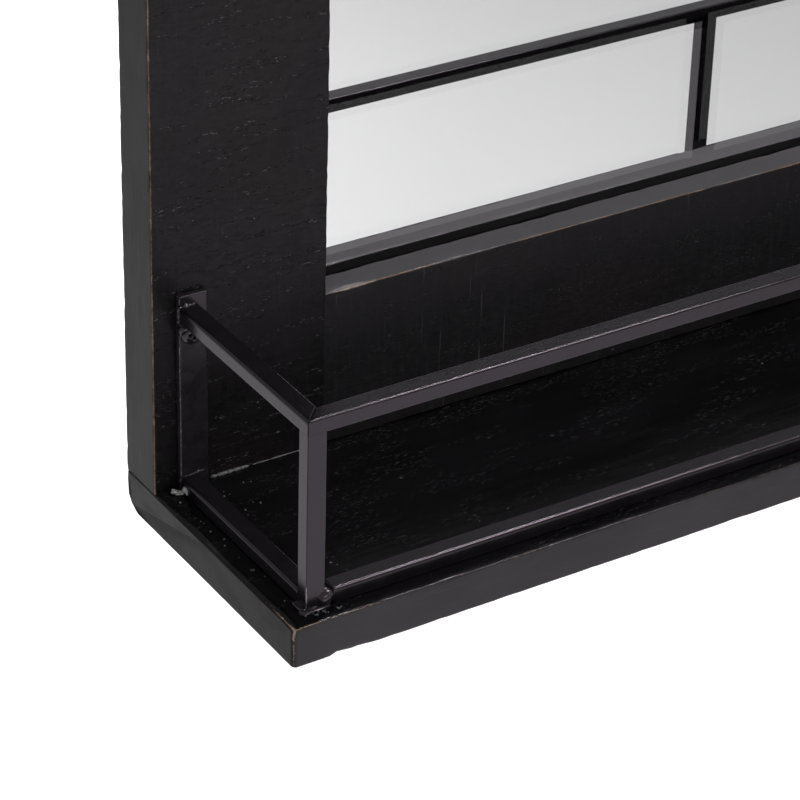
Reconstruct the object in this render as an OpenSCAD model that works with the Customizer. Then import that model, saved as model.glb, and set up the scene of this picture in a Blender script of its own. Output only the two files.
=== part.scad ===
// Wall mirror with a shelf: a black wooden frame round a silvered glass, a shelf board under it
// that projects to the front, and a welded metal gallery standing on the shelf.
// Millimetres. X runs to the right, Y towards the wall and Z up. The origin is on the wall, midway
// between the two hooks that the mirror hangs from.

/* [Frame] */
// Overall width of the frame and of the shelf
frame_w = 610; // [500:1:800]
// Overall height, shelf included
frame_h = 762; // [600:1:1000]
// Thickness of the frame's boards
frame_t = 20.5; // [18:0.5:24]
// Width of the stiles and of the top rail
stile_w = 66; // [56:1:80]
// Height of the bottom rail above the shelf
bottom_rail_h = 58.5; // [45:0.5:80]
// Thickness of the front lip that the glass lies behind
lip_t = 11.5; // [9:0.5:12]
// How far the glass reaches in behind the lip
rabbet_w = 8; // [6:0.5:12]
// Width of the chamfer that eases the boards' long edges
wood_edge = 0.9; // [0.4:0.1:2]

/* [Shelf] */
// Thickness of the shelf board
shelf_t = 15.5; // [12:0.5:20]
// How far the shelf projects in front of the frame
shelf_reach = 91.5; // [70:0.5:150]
// Size of the chamfer on the shelf's corners, seen from above
shelf_corner = 2; // [1:0.5:6]

/* [Mirror] */
// Thickness of the silvered glass
glass_t = 5; // [3:0.5:5]
// Gap left round the glass and its backing board
glass_gap = 1; // [0.5:0.5:2]

/* [Gallery] */
// Height of the gallery above the shelf
gallery_h = 70.3; // [50:0.1:90]
// Width of the gallery's flat bars
bar_w = 7; // [6:0.1:9]
// Thickness of the gallery's flat bars
bar_t = 5.6; // [5:0.1:7]
// Distance from the shelf's ends to the gallery
gallery_side = 8.4; // [6:0.1:20]
// Distance from the shelf's front edge to the gallery
gallery_front = 6.6; // [5:0.1:20]
// Width of the plates that hold the gallery to the stiles
plate_w = 11; // [10:0.5:14]
// Thickness of those plates
plate_t = 2.6; // [2:0.1:3]
// How far those plates rise above the gallery
plate_rise = 3.5; // [2:0.5:8]
// Diameter of the pan heads of those plates' screws
plate_head_d = 8.6; // [6:0.1:9]

/* [Hanging hardware] */
// Distance from the top of the frame down to the wall hooks
hook_drop = 110; // [80:1:150]
// Gap between the back of the frame and the wall
wall_gap = 5; // [5:0.5:8]
// Diameter of the wire of the D rings
ring_wire = 2.4; // [2:0.1:2.6]
// Inside width of the D rings
ring_in_w = 16; // [14:0.5:20]
// Reach of the D rings, from the pivot to the inside of the bow
ring_reach = 16; // [15:0.5:18]
// Width of the hanger straps
strap_w = 11; // [9:0.5:12]
// Length of the hanger straps below the pivot
strap_len = 46; // [44:1:60]
// Thickness of the hanger straps
strap_t = 1; // [0.8:0.1:1]

/* [Turn buttons] */
// Length of a turn button
button_len = 38; // [30:1:45]
// Width of a turn button
button_w = 12; // [10:1:14]
// Thickness of a turn button
button_t = 1.2; // [1:0.1:1.5]
// Distance from a turn button's pivot to the opening that it closes
button_back = 14; // [10:1:20]

/* [Hidden] */
$fn = 48;

// The planes and levels that everything is placed from
half_w = frame_w / 2;
back_y = -wall_gap;
front_y = back_y - frame_t;
glass_y = front_y + lip_t;
board_y = glass_y + glass_t;
shelf_y = front_y - shelf_reach;
top_z = hook_drop;
base_z = top_z - frame_h;
shelf_z = base_z + shelf_t;
rail_z = shelf_z + bottom_rail_h;
head_z = top_z - stile_w;
open_w = frame_w - 2 * stile_w;
board_t = back_y - board_y;

// The gallery's outer faces and its levels
gal_x = half_w - gallery_side;
gal_y = shelf_y + gallery_front;
gal_z = shelf_z + gallery_h;
plate_head_h = plate_head_d * 0.3;
plate_screw_x = gal_x - plate_head_d / 2 - 0.3;
plate_screw_z = gal_z - bar_t - plate_head_d / 2 - 0.2;

// The D ring turns in its strap with this gap all round
pivot_gap = 0.08;
pivot_r = ring_wire / 2 + pivot_gap;
loop_r = pivot_r + strap_t;
pivot_y = back_y + loop_r;
pivot_z = -ring_reach;
hanger_x = half_w - stile_w / 2;
strap_screws = [26, 39];

// A turn button turns on its screw, this far off the frame's back
button_gap = 0.1;
button_y = back_y + button_gap;
// Each turn button: x and z of its pivot, and its direction about Y, 0 being towards +X
button_left_upper = [-open_w / 2 - button_back, -150, 0];
button_left_lower = [-open_w / 2 - button_back, -430, 0];
button_right_upper = [open_w / 2 + button_back, -150, 180];
button_right_lower = [open_w / 2 + button_back, -430, 180];
button_top = [0, head_z + button_back, -90];
button_bottom = [0, rail_z - button_back, 90];
buttons = [button_left_upper, button_left_lower, button_right_upper, button_right_lower,
           button_top, button_bottom];

dowel_d = 8;
dowel_len = 40;
dowel_z = [shelf_z + 13, shelf_z + 38, head_z + 22, head_z + 50];
dowel_y = front_y + frame_t / 2;

shelf_screw_x = [-half_w + 18, -half_w + 42, -110, 110, half_w - 42, half_w - 18];
bead = 1.6;

// Outline of a board's section, w by t, with its long edges eased; the front is towards -Y
module eased(w, t, e) {
    polygon([[e, 0], [w - e, 0], [w, e], [w, t - e], [w - e, t], [e, t], [0, t - e], [0, e]]);
}

// A wood screw with a flat head, its face at z = 0 and its point up
module flat_screw(d, len) {
    rotate_extrude() polygon([[0, 0], [d, 0], [d / 2, d / 2], [d / 2, len - d], [0, len]]);
}

// A screw with a pan head that rises to z = head_h, its shank running down from z = 0
module pan_screw(d, len, head_d, head_h) {
    rotate_extrude() polygon([
        [0, -len], [d / 2, d - len], [d / 2, 0], [head_d / 2, 0], [head_d / 2, head_h * 0.4],
        [head_d * 0.32, head_h], [0, head_h]]);
}

// A cross recess, cut depth deep into a head whose face is at z = 0
module cross_recess(size, depth) {
    for (a = [0, 90]) rotate([0, 0, a]) translate([-size / 2, -size / 10, -depth])
        cube([size, size / 5, depth + 1]);
}

// Places a screw that is driven from the back of the frame, its head towards the wall
module from_back(x, y, z) {
    translate([x, y, z]) rotate([-90, 0, 0]) children();
}

// The shanks and heads that the wood is bored for
module shelf_screw_bodies() {
    for (x = shelf_screw_x) translate([x, dowel_y, base_z]) flat_screw(4, 50);
}

module post_screw_bodies() {
    for (x = [-gal_x + bar_w / 2, 0, gal_x - bar_w / 2])
        translate([x, gal_y + bar_t / 2, base_z]) flat_screw(3, shelf_t + 12);
}

module plate_screw_bodies() {
    for (side = [-1, 1])
        translate([side * plate_screw_x, front_y - plate_t, plate_screw_z])
            rotate([90, 0, 0]) pan_screw(3, 16, plate_head_d, plate_head_h);
}

module button_screw_bodies() {
    for (b = buttons) from_back(b[0], button_y + button_t + button_gap, b[1])
        pan_screw(3, 13, 6, 1.8);
}

module hanger_screw_bodies() {
    for (side = [-1, 1], d = strap_screws)
        from_back(side * hanger_x, back_y + strap_t, pivot_z - d) pan_screw(3.5, 14, 7, 2);
}

module dowel_bodies() {
    for (side = [-1, 1], z = dowel_z)
        translate([side * open_w / 2 - dowel_len / 2, dowel_y, z]) rotate([0, 90, 0])
            cylinder(d = dowel_d, h = dowel_len);
}

// The left stile as a plain board, standing on the shelf, with its rabbet and bores
module stile_wood() {
    difference() {
        translate([-half_w, front_y, shelf_z]) linear_extrude(height = top_z - shelf_z)
            eased(stile_w, frame_t, wood_edge);
        translate([-open_w / 2 - rabbet_w, glass_y, rail_z - rabbet_w])
            cube([rabbet_w + 1, frame_t, head_z - rail_z + 2 * rabbet_w]);
        dowel_bodies();
        shelf_screw_bodies();
        plate_screw_bodies();
        button_screw_bodies();
        hanger_screw_bodies();
    }
}

// A rail between the stiles from z = low to z = high, with its rabbet on the side of the glass
module rail_wood(low, high, rabbet_z) {
    difference() {
        translate([-open_w / 2, front_y, high]) rotate([0, 90, 0])
            linear_extrude(height = open_w) eased(high - low, frame_t, wood_edge);
        translate([-open_w / 2 - 1, glass_y, rabbet_z])
            cube([open_w + 2, frame_t, rabbet_w + 1]);
        dowel_bodies();
        shelf_screw_bodies();
        button_screw_bodies();
    }
}

module left_stile() { color([0.07, 0.07, 0.075]) stile_wood(); }

module right_stile() { color([0.07, 0.07, 0.075]) mirror([1, 0, 0]) stile_wood(); }

module top_rail() { color([0.07, 0.07, 0.075]) rail_wood(head_z, top_z, head_z - 1); }

module bottom_rail() { color([0.075, 0.065, 0.065]) rail_wood(shelf_z, rail_z, rail_z - rabbet_w); }

module frame_dowels() { color([0.72, 0.55, 0.36]) dowel_bodies(); }

// The board's section runs the width of the shelf; its plan takes the sharp front corners off
module shelf_board() {
    c = shelf_corner;
    depth = back_y - shelf_y;
    color([0.06, 0.06, 0.065]) difference() {
        intersection() {
            translate([-half_w, shelf_y, shelf_z]) rotate([0, 90, 0])
                linear_extrude(height = frame_w) eased(shelf_t, depth, wood_edge);
            translate([-half_w, shelf_y, base_z - 1]) linear_extrude(height = shelf_t + 2)
                polygon([[c, 0], [frame_w - c, 0], [frame_w, c], [frame_w, depth - c],
                         [frame_w - c, depth], [c, depth], [0, depth - c], [0, c]]);
        }
        shelf_screw_bodies();
        post_screw_bodies();
    }
}

module shelf_screws() {
    color([0.75, 0.65, 0.35]) difference() {
        shelf_screw_bodies();
        for (x = shelf_screw_x) translate([x, dowel_y, base_z]) mirror([0, 0, 1])
            cross_recess(4.4, 1.6);
    }
}

// A sheet that fills the rabbet, from the wall side of y on
module rabbet_sheet(y, t) {
    x = open_w / 2 + rabbet_w - glass_gap;
    z = rail_z - rabbet_w;
    translate([-x, y, z]) cube([2 * x, t, head_z + rabbet_w - glass_gap - z]);
}

module mirror_glass() { color([0.85, 0.87, 0.88]) rabbet_sheet(glass_y, glass_t); }

module backing_board() { color([0.45, 0.33, 0.22]) rabbet_sheet(board_y, board_t); }

// The gallery's top rails lie flat and meet in mitres at the front corners
module gallery_front_top_rail() {
    color([0.09, 0.085, 0.095]) translate([0, gal_y, gal_z - bar_t])
        linear_extrude(height = bar_t) polygon([
            [-gal_x, 0], [gal_x, 0], [gal_x - bar_w, bar_w], [bar_w - gal_x, bar_w]]);
}

module side_top_rail() {
    translate([-gal_x, gal_y, gal_z - bar_t]) linear_extrude(height = bar_t) polygon([
        [0, 0], [bar_w, bar_w], [bar_w, front_y - plate_t - gal_y], [0, front_y - plate_t - gal_y]]);
}

module gallery_left_top_rail() { color([0.09, 0.085, 0.095]) side_top_rail(); }

module gallery_right_top_rail() { color([0.09, 0.085, 0.095]) mirror([1, 0, 0]) side_top_rail(); }

// A post stands on the shelf, its front face flush with the top rail's; x is its left side
module front_post(x) {
    difference() {
        translate([x, gal_y, shelf_z]) cube([bar_w, bar_t, gallery_h - bar_t]);
        post_screw_bodies();
    }
}

module gallery_left_front_post() { color([0.09, 0.085, 0.095]) front_post(-gal_x); }

module gallery_middle_front_post() { color([0.09, 0.085, 0.095]) front_post(-bar_w / 2); }

module gallery_right_front_post() { color([0.09, 0.085, 0.095]) front_post(gal_x - bar_w); }

module wall_plate() {
    difference() {
        translate([-gal_x, front_y - plate_t, shelf_z])
            cube([plate_w, plate_t, gallery_h + plate_rise]);
        plate_screw_bodies();
    }
}

module gallery_left_wall_plate() { color([0.09, 0.085, 0.095]) wall_plate(); }

module gallery_right_wall_plate() { color([0.09, 0.085, 0.095]) mirror([1, 0, 0]) wall_plate(); }

// The bottom rails lie on the shelf between the posts and the wall plates, under the top rails
module front_bottom_rail() {
    translate([bar_w - gal_x, gal_y, shelf_z]) cube([gal_x - bar_w * 1.5, bar_w, bar_t]);
}

module side_bottom_rail() {
    translate([-gal_x, gal_y + bar_t, shelf_z])
        cube([bar_w, front_y - plate_t - gal_y - bar_t, bar_t]);
}

module gallery_front_left_bottom_rail() { color([0.09, 0.085, 0.095]) front_bottom_rail(); }

module gallery_front_right_bottom_rail() {
    color([0.09, 0.085, 0.095]) mirror([1, 0, 0]) front_bottom_rail();
}

module gallery_left_bottom_rail() { color([0.09, 0.085, 0.095]) side_bottom_rail(); }

module gallery_right_bottom_rail() {
    color([0.09, 0.085, 0.095]) mirror([1, 0, 0]) side_bottom_rail();
}

// A fillet of weld in the inner corner where a post meets the rail above it; it leans along X
module post_bead(x, lean) {
    translate([x, gal_y + bar_t - 0.6, gal_z - bar_t]) rotate([90, 0, 0])
        linear_extrude(height = bar_t - 1.2) polygon([[0, 0], [lean * bead, 0], [0, -bead]]);
}

// A fillet of weld in the corner where a side rail meets its wall plate
module plate_bead() {
    translate([0.8 - gal_x, front_y - plate_t, gal_z]) rotate([90, 0, 90])
        linear_extrude(height = bar_w - 1.6) polygon([[0, 0], [-bead, 0], [0, bead]]);
}

module gallery_weld_beads() {
    color([0.16, 0.15, 0.16]) {
        post_bead(bar_w - gal_x, 1);
        post_bead(-bar_w / 2, -1);
        post_bead(bar_w / 2, 1);
        post_bead(gal_x - bar_w, -1);
        plate_bead();
        mirror([1, 0, 0]) plate_bead();
    }
}

module gallery_post_screws() { color([0.75, 0.75, 0.72]) post_screw_bodies(); }

module gallery_plate_screws() {
    color([0.1, 0.1, 0.1]) difference() {
        plate_screw_bodies();
        for (side = [-1, 1])
            translate([side * plate_screw_x, front_y - plate_t - plate_head_h, plate_screw_z])
                rotate([90, 0, 0]) cross_recess(4.6, 1.5);
    }
}

// A turn button: a steel slip with round ends that turns on a screw near one end
module turn_button(b) {
    end_r = button_w / 2;
    color([0.72, 0.7, 0.62]) translate([b[0], button_y, b[1]]) rotate([0, -b[2], 0])
        rotate([-90, 0, 0]) difference() {
            union() {
                cylinder(r = end_r, h = button_t);
                translate([0, -end_r, 0]) cube([button_len - button_w, button_w, button_t]);
                translate([button_len - button_w, 0, 0]) cylinder(r = end_r, h = button_t);
            }
            translate([0, 0, -1]) cylinder(r = 1.55, h = button_t + 2);
        }
}

module turn_button_left_upper() { turn_button(button_left_upper); }

module turn_button_left_lower() { turn_button(button_left_lower); }

module turn_button_right_upper() { turn_button(button_right_upper); }

module turn_button_right_lower() { turn_button(button_right_lower); }

module turn_button_top() { turn_button(button_top); }

module turn_button_bottom() { turn_button(button_bottom); }

module turn_button_screws() {
    color([0.75, 0.65, 0.35]) difference() {
        button_screw_bodies();
        for (b = buttons) from_back(b[0], button_y + button_t + button_gap + 1.8, b[1])
            cross_recess(2.8, 1);
    }
}

// A strap folded round the ring's wire, its two leaves pressed together and screwed to the stile
module hanger_strap(x) {
    color([0.75, 0.74, 0.7]) translate([x - strap_w / 2, pivot_y, pivot_z]) difference() {
        union() {
            rotate([0, 90, 0]) cylinder(r = loop_r, h = strap_w);
            translate([0, -loop_r, -strap_len]) cube([strap_w, strap_t, strap_len]);
        }
        translate([-1, 0, 0]) rotate([0, 90, 0]) cylinder(r = pivot_r, h = strap_w + 2);
        translate([strap_w / 2, 0, 0]) for (d = strap_screws)
            translate([0, -loop_r - 1, -d]) rotate([-90, 0, 0]) cylinder(d = 3.5, h = 3);
    }
}

module left_hanger_strap() { hanger_strap(-hanger_x); }

module right_hanger_strap() { hanger_strap(hanger_x); }

// A D ring hanging from its strap: a straight pin, two short legs and a half-round bow
module d_ring(x) {
    leg_x = (ring_in_w + ring_wire) / 2;
    leg_len = ring_reach + ring_wire / 2 - leg_x;
    color([0.75, 0.74, 0.7]) translate([x, pivot_y, pivot_z]) {
        rotate([0, 90, 0]) cylinder(d = ring_wire, h = 2 * leg_x, center = true);
        for (side = [-1, 1]) translate([side * leg_x, 0, -leg_len]) {
            cylinder(d = ring_wire, h = leg_len);
            translate([0, 0, leg_len]) sphere(d = ring_wire);
        }
        translate([0, 0, -leg_len]) rotate([90, 0, 0]) rotate([0, 0, 180])
            rotate_extrude(angle = 180) translate([leg_x, 0]) circle(d = ring_wire);
    }
}

module left_d_ring() { d_ring(-hanger_x); }

module right_d_ring() { d_ring(hanger_x); }

module hanger_screws() {
    color([0.75, 0.65, 0.35]) difference() {
        hanger_screw_bodies();
        for (side = [-1, 1], d = strap_screws)
            from_back(side * hanger_x, back_y + strap_t + 2, pivot_z - d) cross_recess(3.4, 1.1);
    }
}

// Round rubber bumpers keep the foot of the frame off the wall
module wall_bumpers() {
    color([0.15, 0.15, 0.15]) for (side = [-1, 1])
        from_back(side * (half_w - 20), back_y, base_z + 35) cylinder(d = 12, h = wall_gap);
}

left_stile();
right_stile();
top_rail();
bottom_rail();
frame_dowels();
shelf_board();
shelf_screws();
mirror_glass();
backing_board();
gallery_front_top_rail();
gallery_left_top_rail();
gallery_right_top_rail();
gallery_left_front_post();
gallery_middle_front_post();
gallery_right_front_post();
gallery_left_wall_plate();
gallery_right_wall_plate();
gallery_front_left_bottom_rail();
gallery_front_right_bottom_rail();
gallery_left_bottom_rail();
gallery_right_bottom_rail();
gallery_weld_beads();
gallery_post_screws();
gallery_plate_screws();
turn_button_left_upper();
turn_button_left_lower();
turn_button_right_upper();
turn_button_right_lower();
turn_button_top();
turn_button_bottom();
turn_button_screws();
left_hanger_strap();
right_hanger_strap();
left_d_ring();
right_d_ring();
hanger_screws();
wall_bumpers();
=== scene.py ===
import math
import random

import bpy
from mathutils import Matrix, Vector, noise


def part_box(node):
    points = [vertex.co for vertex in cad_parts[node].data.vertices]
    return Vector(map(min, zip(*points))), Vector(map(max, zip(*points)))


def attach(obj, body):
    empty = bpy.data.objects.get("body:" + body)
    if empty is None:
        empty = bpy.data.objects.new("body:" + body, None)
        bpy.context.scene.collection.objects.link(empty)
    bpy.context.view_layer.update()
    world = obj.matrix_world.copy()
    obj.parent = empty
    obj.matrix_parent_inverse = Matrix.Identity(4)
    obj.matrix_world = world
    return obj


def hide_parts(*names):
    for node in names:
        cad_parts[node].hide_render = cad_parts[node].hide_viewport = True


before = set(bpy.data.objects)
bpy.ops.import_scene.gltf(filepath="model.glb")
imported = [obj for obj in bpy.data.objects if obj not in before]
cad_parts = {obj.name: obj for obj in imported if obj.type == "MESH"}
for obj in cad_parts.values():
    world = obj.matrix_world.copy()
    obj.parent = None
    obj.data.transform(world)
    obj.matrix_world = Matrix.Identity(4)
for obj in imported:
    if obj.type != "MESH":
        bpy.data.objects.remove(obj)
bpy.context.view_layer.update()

# A black wooden wall mirror with a shelf and a welded gallery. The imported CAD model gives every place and
# size. This script gives the wood, steel, glass and hardware their worn surfaces, and sets up the camera and
# the light. Lengths are metres. MM turns millimetres into metres.

MM = 0.001

# ---------------------------------------------------------------- places taken from the frame

stile_lo, stile_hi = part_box("left_stile")
head_lo, head_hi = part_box("top_rail")
foot_lo, foot_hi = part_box("bottom_rail")
shelf_lo, shelf_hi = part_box("shelf_board")
glass_lo, glass_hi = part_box("mirror_glass")
rail_lo, rail_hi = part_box("gallery_front_top_rail")
side_lo, side_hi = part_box("gallery_left_top_rail")
post_lo, post_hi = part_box("gallery_left_front_post")
plate_lo, plate_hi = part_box("gallery_left_wall_plate")
screw_lo, screw_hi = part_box("gallery_plate_screws")
bumper_lo, bumper_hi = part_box("wall_bumpers")

half_width = -stile_lo.x
opening = -stile_hi.x
wood_front, wood_back = stile_lo.y, stile_hi.y
shelf_top = shelf_hi.z
glass_gap = 1 * MM
rabbet = glass_hi.x + glass_gap - opening

# ---------------------------------------------------------------- mesh helpers

ARC_STEPS = 6  # stretches that make up a rounded corner
GROWTH = 1.5   # how much longer each stretch is than the last, away from an edge
FAR = 1.0      # a distance at which nothing counts as an edge


def piece(name, verts, faces, materials, body="frame", stands_for=(), smooth=True):
    """Makes a mesh object that rides on a body and stands for CAD nodes."""
    mesh = bpy.data.meshes.new(name)
    mesh.from_pydata(verts, [], faces)
    mesh.update()
    for material in materials:
        mesh.materials.append(material)
    if smooth:
        mesh.shade_smooth()
    made = bpy.data.objects.new(name, mesh)
    bpy.context.scene.collection.objects.link(made)
    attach(made, body)
    if stands_for:
        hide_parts(*stands_for)
    return made


def fill_attribute(made, name, values):
    """Stores one number per vertex, for the materials to read."""
    attribute = made.data.attributes.new(name, "FLOAT", "POINT")
    attribute.data.foreach_set("value", values)


def graded(start, stop, fine, coarse):
    """Stations from start to stop, fine near both ends and coarse between."""
    half = abs(stop - start) / 2
    sign = 1 if stop > start else -1
    reaches = []
    reach, step = fine, fine
    while reach < half - step / 2:
        reaches.append(reach)
        step = min(step * GROWTH, coarse)
        reach += step
    near = [start + sign * r for r in reaches]
    far = [stop - sign * r for r in reversed(reaches)]
    return [start, *near, *far, stop]


def turn_out(edge):
    """The outward normal of an edge of an anticlockwise outline."""
    return Vector((edge.y, -edge.x))


def section(corners, fine, coarse):
    """A section's outline, as points of (place, normal, distance to the middle of the nearest corner, which
    corner that is). corners are (a, b, radius), anticlockwise; a corner with radius 0 stays sharp."""
    places = [Vector((a, b)) for a, b, _ in corners]
    count = len(corners)
    ends = []
    for i, (_, _, radius) in enumerate(corners):
        before = (places[i] - places[i - 1]).normalized()
        after = (places[(i + 1) % count] - places[i]).normalized()
        ends.append((places[i] - before * radius, places[i] + after * radius, before, after))
    outline = []
    for i, (_, _, radius) in enumerate(corners):
        enter, leave, before, after = ends[i]
        n_in, n_out = turn_out(before), turn_out(after)
        if radius > 0:
            centre = enter - n_in * radius
            for k in range(ARC_STEPS + 1):
                angle = math.pi / 2 * k / ARC_STEPS
                normal = n_in * math.cos(angle) + n_out * math.sin(angle)
                outline.append((centre + normal * radius, normal, abs(angle - math.pi / 4) * radius, i))
        else:
            outline.append((places[i], (n_in + n_out).normalized(), FAR, i))
        j = (i + 1) % count
        stop = ends[j][0]
        length = (stop - leave).length
        for s in graded(0, length, fine, coarse)[1:-1]:
            near_this = s + math.pi / 4 * radius if radius > 0 else FAR
            near_next = length - s + math.pi / 4 * corners[j][2] if corners[j][2] > 0 else FAR
            corner = i if near_this <= near_next else j
            outline.append((leave + after * s, n_out, min(near_this, near_next), corner))
    return outline


def stations(start, stop, round_start, round_stop, fine, coarse):
    """Places along a bar, each with how far its section is drawn in by the rounding of the bar's ends, and
    with how near it is to the middle of that rounding, both from 0 to 1."""
    rows = [(s, 0.0, 0.0) for s in graded(start + round_start, stop - round_stop, fine, coarse)]
    for k in range(1, ARC_STEPS + 1):
        angle = math.pi / 2 * k / ARC_STEPS
        drawn, brink = 1 - math.cos(angle), 1 - abs(2 * k / ARC_STEPS - 1)
        if round_start:
            rows.insert(0, (start + round_start * (1 - math.sin(angle)), drawn, brink))
        if round_stop:
            rows.append((stop - round_stop * (1 - math.sin(angle)), drawn, brink))
    return rows


def turns(around):
    """The angles of points that lie evenly round a circle."""
    return [2 * math.pi * i / around for i in range(around)]


def tube_faces(rows, around):
    """The faces of a tube made of rows of vertices, with a cap at each end."""
    faces = []
    for k in range(rows - 1):
        low, high = k * around, (k + 1) * around
        for i in range(around):
            j = (i + 1) % around
            faces.append((low + i, low + j, high + j, high + i))
    last = (rows - 1) * around
    faces.append(tuple(reversed(range(around))))
    faces.append(tuple(range(last, last + around)))
    return faces


def dome_faces(rings, around):
    """The faces of a dome: its top is the first vertex, and its rings follow."""
    faces = [(0, 1 + i, 1 + (i + 1) % around) for i in range(around)]
    for k in range(rings - 1):
        low, high = 1 + k * around, 1 + (k + 1) * around
        for i in range(around):
            j = (i + 1) % around
            faces.append((low + i, high + i, high + j, low + j))
    return faces


def sweep(outline, rows, place, end_round):
    """Sweeps the outline along the rows. Returns vertices, normals, faces, and what each vertex has from its
    outline point and its row. end_round is (a, b): how far a rounded end draws the section in, each way."""
    lo = Vector((min(spot.x for spot, *_ in outline), min(spot.y for spot, *_ in outline)))
    hi = Vector((max(spot.x for spot, *_ in outline), max(spot.y for spot, *_ in outline)))
    middle, half = (lo + hi) / 2, (hi - lo) / 2
    verts, normals, source = [], [], []
    for along, drawn, brink in rows:
        keep_a = 1 - drawn * end_round[0] / half.x
        keep_b = 1 - drawn * end_round[1] / half.y
        for spot, normal, near, corner in outline:
            a = middle.x + (spot.x - middle.x) * keep_a
            b = middle.y + (spot.y - middle.y) * keep_b
            verts.append(place(a, b, along))
            normals.append(place(normal.x, normal.y, 0.0))
            source.append((near, corner, drawn, brink))
    return verts, normals, tube_faces(len(rows), len(outline)), source


def along_x(a, b, c):
    return Vector((c, a, b))


def along_y(a, b, c):
    return Vector((b, c, a))


def along_z(a, b, c):
    return Vector((a, b, c))


def drift(spot, size, seed):
    """Smooth noise from -1 to 1, with lumps of about size."""
    return noise.noise(Vector(spot) / size + Vector((seed * 7.3, seed * 3.1, seed * 5.7)))


# ---------------------------------------------------------------- material helpers


class Shader:
    """A material with a Principled surface, built up by calls that return output sockets."""

    def __init__(self, name):
        self.material = bpy.data.materials.new(name)
        self.material.use_nodes = True
        self.tree = self.material.node_tree
        self.tree.nodes.clear()
        output = self.tree.nodes.new("ShaderNodeOutputMaterial")
        self.surface = self.tree.nodes.new("ShaderNodeBsdfPrincipled")
        self.tree.links.new(self.surface.outputs["BSDF"], output.inputs["Surface"])
        self.place = self.node("ShaderNodeTexCoord").outputs["Object"]

    def node(self, kind, inputs=(), **settings):
        made = self.tree.nodes.new(kind)
        for key, value in settings.items():
            setattr(made, key, value)
        for key, value in dict(inputs).items():
            self.put(made.inputs[key], value)
        return made

    def put(self, socket, value):
        """Links an output socket to socket, or sets a constant on it."""
        if isinstance(value, bpy.types.NodeSocket):
            self.tree.links.new(value, socket)
        elif socket.type == "RGBA":
            socket.default_value = (*value, 1.0)
        else:
            socket.default_value = value

    def set(self, **inputs):
        for key, value in inputs.items():
            self.put(self.surface.inputs[key.replace("_", " ")], value)

    def stretched(self, size):
        """The place on the object, scaled so that one unit is size millimetres, each way."""
        scale = [1 / (s * MM) for s in size]
        mapping = {"Vector": self.place, "Scale": scale}
        return self.node("ShaderNodeMapping", mapping).outputs["Vector"]

    def noise(self, size, detail=3.0, rough=0.55):
        spec = {"Vector": self.stretched(size), "Scale": 1.0, "Detail": detail, "Roughness": rough}
        return self.node("ShaderNodeTexNoise", spec).outputs["Fac"]

    def cells(self, size):
        """How far it is to the middle of the nearest of many scattered cells."""
        spec = {"Vector": self.stretched(size), "Scale": 1.0}
        return self.node("ShaderNodeTexVoronoi", spec).outputs["Distance"]

    def attribute(self, name):
        return self.node("ShaderNodeAttribute", attribute_name=name).outputs["Fac"]

    def band(self, value, low, high, start=0.0, stop=1.0):
        """value's range low to high, spread smoothly over start to stop."""
        spec = {"Value": value, "From Min": low, "From Max": high, "To Min": start, "To Max": stop}
        return self.node("ShaderNodeMapRange", spec, interpolation_type="SMOOTHSTEP").outputs["Result"]

    def math(self, operation, first, second=0.0):
        made = self.node("ShaderNodeMath", operation=operation)
        self.put(made.inputs[0], first)
        self.put(made.inputs[1], second)
        return made.outputs[0]

    def mix(self, share, first, second):
        made = self.node("ShaderNodeMix", data_type="RGBA")
        self.put(made.inputs[0], share)
        self.put(made.inputs[6], first)
        self.put(made.inputs[7], second)
        return made.outputs[2]

    def bump(self, height, depth, below=None):
        """A bump from height, depth millimetres deep at its full range, on top of the bump below."""
        spec = {"Height": height, "Distance": depth * MM, "Strength": 1.0}
        if below is not None:
            spec["Normal"] = below
        return self.node("ShaderNodeBump", spec).outputs["Normal"]


# ---------------------------------------------------------------- materials

DEEP_STAIN = (0.0030, 0.0028, 0.0032)
BLACK_STAIN = (0.0068, 0.0062, 0.0070)
WARM_STAIN = (0.0125, 0.0070, 0.0066)
GREY_STAIN = (0.0170, 0.0162, 0.0178)
NICK = (0.095, 0.090, 0.095)
# A painted glint: the light colour laid into the saw nicks for the light caught on their cut edges.
PAINTED_NICK_GLINT = (0.190, 0.182, 0.190)
BROWN_WOOD = (0.150, 0.078, 0.036)
PALE_WOOD = (0.44, 0.35, 0.27)
DUST = (0.30, 0.29, 0.29)
STEEL_SPECK = (0.14, 0.13, 0.14)
# Grey of steel where the paint is worn through. It also lays painted highlights along some bar edges.
BARE_STEEL_AND_HIGHLIGHT = (0.36, 0.34, 0.35)
WOOD_SHEEN = (1.0, 0.91, 0.98)
STEEL_SHEEN = (1.0, 0.84, 1.0)


def rubbed(shader, colour):
    """Lays bare wood over colour where the edges are rubbed through: brown, and pale where most worn."""
    speckle = shader.noise((1.5, 1.5, 1.5), 4.0, 0.65)
    worn = shader.math("ADD", shader.attribute("rub_and_highlight"), shader.math("MULTIPLY", speckle, 0.9))
    through = shader.band(worn, 0.86, 1.08)
    tone = shader.math("ADD", shader.attribute("pale"), shader.noise((4, 4, 4), 2.0))
    bare = shader.mix(shader.band(tone, 0.55, 1.25), BROWN_WOOD, PALE_WOOD)
    return shader.mix(through, colour, bare)


def dusted(shader, colour):
    """A few specks of dust caught on the surface."""
    specks = shader.band(shader.cells((15, 15, 15)), 0.016, 0.026, 0.6, 0.0)
    return shader.mix(specks, colour, DUST)


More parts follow.
